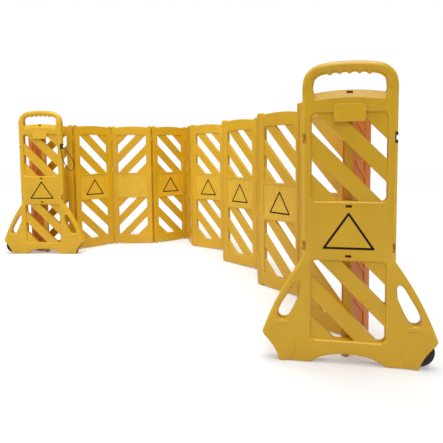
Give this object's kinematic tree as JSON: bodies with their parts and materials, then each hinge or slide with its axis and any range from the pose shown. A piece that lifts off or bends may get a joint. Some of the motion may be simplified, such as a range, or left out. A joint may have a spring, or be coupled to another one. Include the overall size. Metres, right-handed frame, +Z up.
{
  "type": "crowd control barrier",
  "caption": "Folding yellow plastic barrier: barred hinged panels in an accordion row between end stands with carry handles, wheels and elastic loops.",
  "frame": {"origin": "on the floor, under the middle of the whole barrier as it stands part folded, the elastic loops left out", "axes": "+X to the right seen from the front of the near stand, along the length of the row; +Y away from the near stand's front face; +Z up"},
  "size_m": [2.6324, 2.1428, 1.016],
  "materials": {
    "stand_yellow": "safety yellow rotomoulded polyethylene, slightly grained, with a dark printed triangle",
    "panel_yellow": "safety yellow blow-moulded polyethylene, slightly grained, with a dark printed triangle",
    "badge_yellow": "safety yellow plastic, smooth, bare",
    "rail_yellow": "safety yellow moulded plastic",
    "tyre_black": "black rubber",
    "hub_grey": "dark grey moulded plastic",
    "steel": "zinc-plated steel",
    "cord_black": "braided elastic cord, black",
    "anchor_black": "black moulded plastic"
  },
  "bodies": {
    "near_stand": {"near_end_stand": "stand_yellow", "near_badge_plate": "badge_yellow", "near_hinge_rail": "rail_yellow", "near_cord_anchor": "anchor_black", "near_bungee_cord": "cord_black", "near_wheel_axle": "steel", "hinge_pin_15": "steel"},
    "near_wheel": {"near_wheel_tyre": "tyre_black", "near_wheel_hub": "hub_grey"},
    "near_link": {"near_link_panel": "panel_yellow"},
    "panel_12": {"panel_12": "panel_yellow", "hinge_pin_14": "steel"},
    "panel_11": {"panel_11": "panel_yellow", "hinge_pin_13": "steel"},
    "panel_10": {"panel_10": "panel_yellow", "hinge_pin_12": "steel"},
    "panel_09": {"panel_09": "panel_yellow", "hinge_pin_11": "steel"},
    "panel_08": {"panel_08": "panel_yellow", "hinge_pin_10": "steel"},
    "panel_07": {"panel_07": "panel_yellow", "hinge_pin_09": "steel"},
    "panel_06": {"panel_06": "panel_yellow", "hinge_pin_08": "steel"},
    "panel_05": {"panel_05": "panel_yellow", "hinge_pin_07": "steel"},
    "panel_04": {"panel_04": "panel_yellow", "hinge_pin_06": "steel"},
    "panel_03": {"panel_03": "panel_yellow", "hinge_pin_05": "steel"},
    "panel_02": {"panel_02": "panel_yellow", "hinge_pin_04": "steel"},
    "panel_01": {"panel_01": "panel_yellow", "hinge_pin_03": "steel"},
    "far_link": {"far_link_panel": "panel_yellow", "hinge_pin_02": "steel"},
    "far_stand": {"far_end_stand": "stand_yellow", "far_badge_plate": "badge_yellow", "far_hinge_rail": "rail_yellow", "far_cord_anchor": "anchor_black", "far_bungee_cord": "cord_black", "far_wheel_axle": "steel", "hinge_pin_01": "steel"},
    "far_wheel": {"far_wheel_tyre": "tyre_black", "far_wheel_hub": "hub_grey"}
  },
  "joints": [
    {"name": "fold_15", "type": "hinge", "parent": "near_stand", "child": "near_link", "pos_m": [1.02704, -1.00815, 0.46], "axis": [0, 0, -1], "range_deg": [-124.5, 55.5]},
    {"name": "fold_14", "type": "hinge", "parent": "near_link", "child": "panel_12", "pos_m": [1.09243, -0.86817, 0.46], "axis": [0, 0, 1], "range_deg": [-89.5, 90.5]},
    {"name": "fold_13", "type": "hinge", "parent": "panel_12", "child": "panel_11", "pos_m": [0.85732, -0.67253, 0.46], "axis": [0, 0, -1], "range_deg": [-55.5, 124.5]},
    {"name": "fold_12", "type": "hinge", "parent": "panel_11", "child": "panel_10", "pos_m": [0.83458, -0.36752, 0.46], "axis": [0, 0, 1], "range_deg": [-51, 129]},
    {"name": "fold_11", "type": "hinge", "parent": "panel_10", "child": "panel_09", "pos_m": [0.61555, -0.15405, 0.46], "axis": [0, 0, -1], "range_deg": [-41, 139]},
    {"name": "fold_10", "type": "hinge", "parent": "panel_09", "child": "panel_08", "pos_m": [0.54019, 0.14238, 0.46], "axis": [0, 0, 1], "range_deg": [-44, 136]},
    {"name": "fold_09", "type": "hinge", "parent": "panel_08", "child": "panel_07", "pos_m": [0.31028, 0.3441, 0.46], "axis": [0, 0, -1], "range_deg": [-43.5, 136.5]},
    {"name": "fold_08", "type": "hinge", "parent": "panel_07", "child": "panel_06", "pos_m": [0.23234, 0.63986, 0.46], "axis": [0, 0, 1], "range_deg": [-55.5, 124.5]},
    {"name": "fold_07", "type": "hinge", "parent": "panel_06", "child": "panel_05", "pos_m": [-0.03449, 0.78937, 0.46], "axis": [0, 0, -1], "range_deg": [-42.5, 137.5]},
    {"name": "fold_06", "type": "hinge", "parent": "panel_05", "child": "panel_04", "pos_m": [-0.17696, 1.06002, 0.46], "axis": [0, 0, 1], "range_deg": [-117, 63]},
    {"name": "fold_05", "type": "hinge", "parent": "panel_04", "child": "panel_03", "pos_m": [-0.39234, 0.84285, 0.46], "axis": [0, 0, -1], "range_deg": [-40, 140]},
    {"name": "fold_04", "type": "hinge", "parent": "panel_03", "child": "panel_02", "pos_m": [-0.6881, 0.76491, 0.46], "axis": [0, 0, 1], "range_deg": [-46.5, 133.5]},
    {"name": "fold_03", "type": "hinge", "parent": "panel_02", "child": "panel_01", "pos_m": [-0.87751, 0.52476, 0.46], "axis": [0, 0, -1], "range_deg": [-47.5, 132.5]},
    {"name": "fold_02", "type": "hinge", "parent": "panel_01", "child": "far_link", "pos_m": [-1.17458, 0.45199, 0.46], "axis": [0, 0, 1], "range_deg": [-158, 22]},
    {"name": "fold_01", "type": "hinge", "parent": "far_link", "child": "far_stand", "pos_m": [-1.0318, 0.39296, 0.46], "axis": [0, 0, -1], "range_deg": [-159, 21]},
    {"name": "near_wheel_spin", "type": "hinge", "parent": "near_stand", "child": "near_wheel", "pos_m": [1.25804, -1.04415, 0.057], "axis": [0, -1, 0], "continuous": true},
    {"name": "far_wheel_spin", "type": "hinge", "parent": "far_stand", "child": "far_wheel", "pos_m": [-1.25554, 0.32516, 0.057], "axis": [0.1392, -0.9903, 0], "continuous": true}
  ],
  "couplings": [
    {"joint": "fold_15", "follows": "fold_05", "ratio": 0.39643},
    {"joint": "fold_14", "follows": "fold_05", "ratio": 0.64643},
    {"joint": "fold_13", "follows": "fold_05", "ratio": 0.88928},
    {"joint": "fold_12", "follows": "fold_05", "ratio": 0.92143},
    {"joint": "fold_11", "follows": "fold_05", "ratio": 0.99286},
    {"joint": "fold_10", "follows": "fold_05", "ratio": 0.97143},
    {"joint": "fold_09", "follows": "fold_05", "ratio": 0.975},
    {"joint": "fold_08", "follows": "fold_05", "ratio": 0.88928},
    {"joint": "fold_07", "follows": "fold_05", "ratio": 0.98214},
    {"joint": "fold_06", "follows": "fold_05", "ratio": 0.45},
    {"joint": "fold_04", "follows": "fold_05", "ratio": 0.95357},
    {"joint": "fold_03", "follows": "fold_05", "ratio": 0.94643},
    {"joint": "fold_02", "follows": "fold_05", "ratio": 0.15714},
    {"joint": "fold_01", "follows": "fold_05", "ratio": 0.15}
  ]
}
